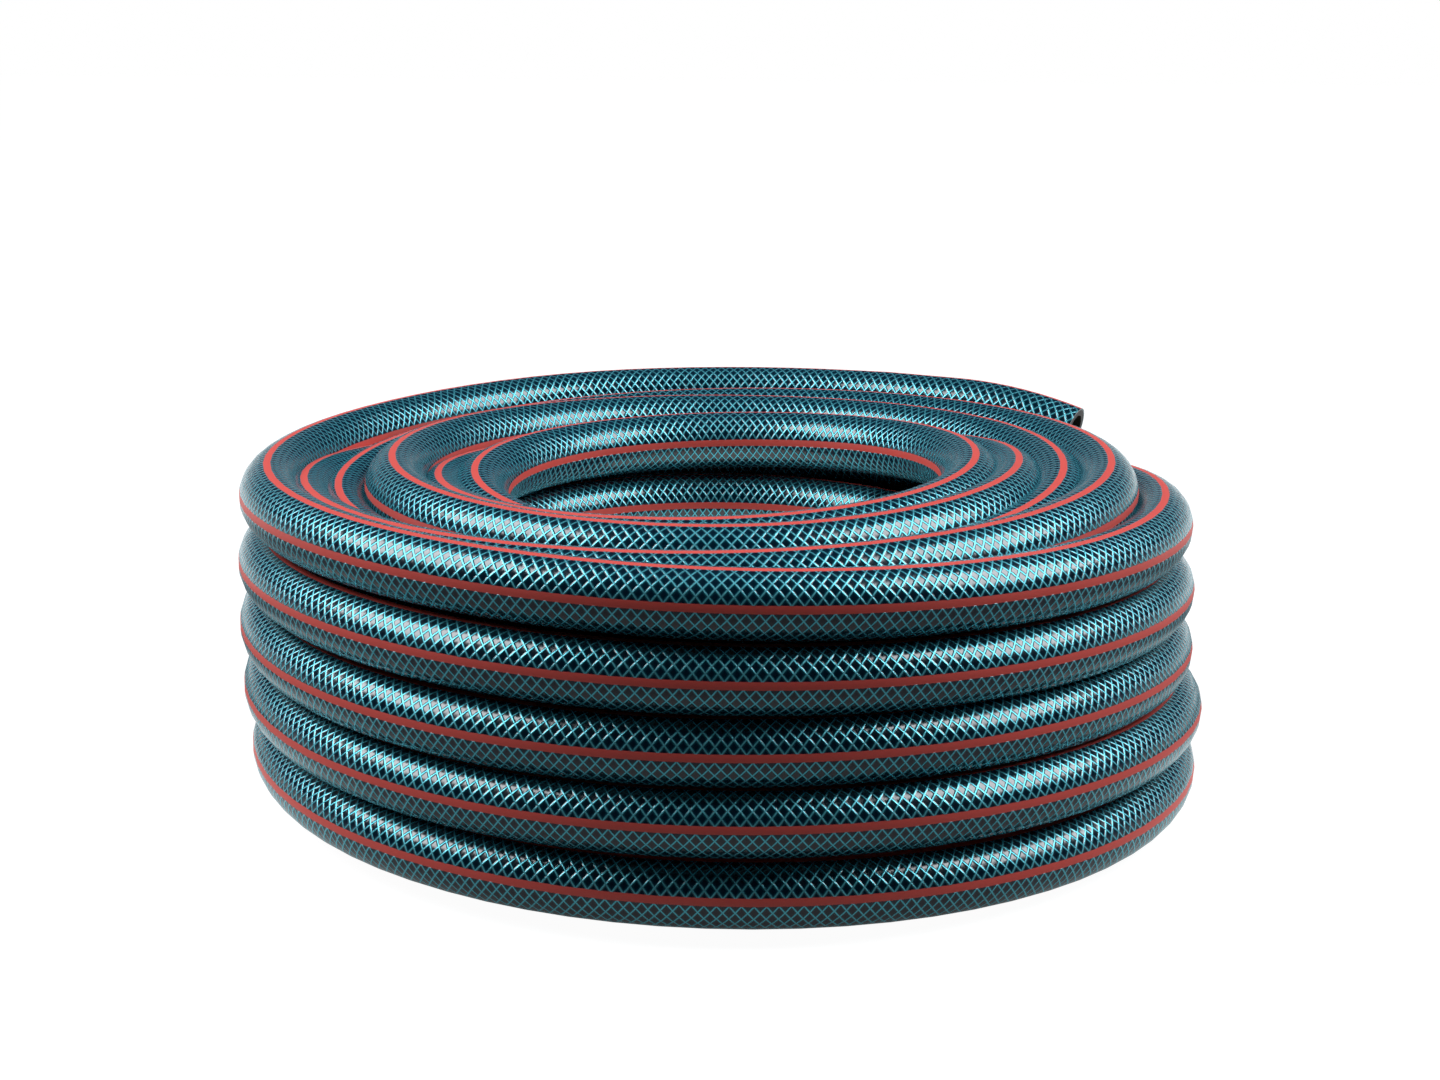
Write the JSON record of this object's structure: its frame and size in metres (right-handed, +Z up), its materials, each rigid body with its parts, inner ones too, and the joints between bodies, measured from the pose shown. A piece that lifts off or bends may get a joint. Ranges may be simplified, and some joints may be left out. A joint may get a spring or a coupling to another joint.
{
  "type": "garden hose",
  "caption": "Half-inch braided garden hose wound into a round, open-centred coil that lies flat, with one cut end free on top.",
  "frame": {"origin": "on the ground plane, under the middle of the coil", "axes": "+Z up along the coil's axis; +Y away from the camera of the picture, so the free end is at the back right (+X, +Y)"},
  "size_m": [0.2676, 0.2676, 0.0974],
  "materials": {
    "hose": "glossy clear PVC over a teal braided reinforcement, with coral red stripes"
  },
  "bodies": {
    "root": {"hose_coil": "hose", "hose_end": "hose"}
  },
  "joints": []
}
